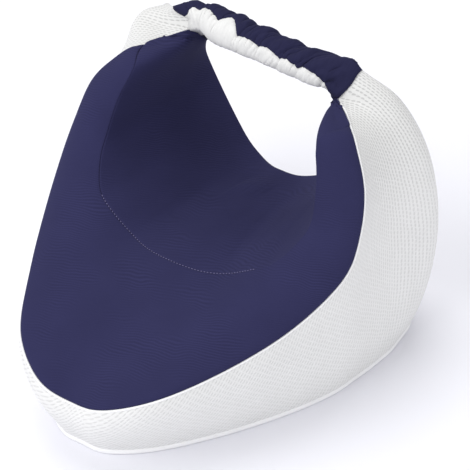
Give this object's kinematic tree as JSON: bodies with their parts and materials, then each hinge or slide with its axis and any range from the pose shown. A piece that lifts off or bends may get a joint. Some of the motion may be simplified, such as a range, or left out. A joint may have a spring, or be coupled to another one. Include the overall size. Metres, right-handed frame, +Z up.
{
  "type": "knee pillow",
  "caption": "Foam knee pillow with a low nose, a leg channel between two horns, mesh sides and a gathered stretch strap across the horns.",
  "frame": {"origin": "under the middle of the pillow's bounding box, at the underside of its flat base", "axes": "+Z up out of the base, -Y towards the low nose, +X towards the horn on the right when seen from the nose"},
  "size_m": [0.2224, 0.2413, 0.179],
  "materials": {
    "mesh_white": "open air mesh over foam",
    "knit_navy": "smooth fine knit",
    "base_white": "smooth woven cloth",
    "strap_navy": "gathered stretch knit",
    "strap_white": "gathered stretch knit"
  },
  "bodies": {
    "root": {"cushion": "mesh_white", "front_panel": "knit_navy", "channel_panel": "knit_navy", "back_panel": "knit_navy", "base_panel": "base_white", "strap_outer": "strap_navy", "strap_inner": "strap_white"}
  },
  "joints": []
}
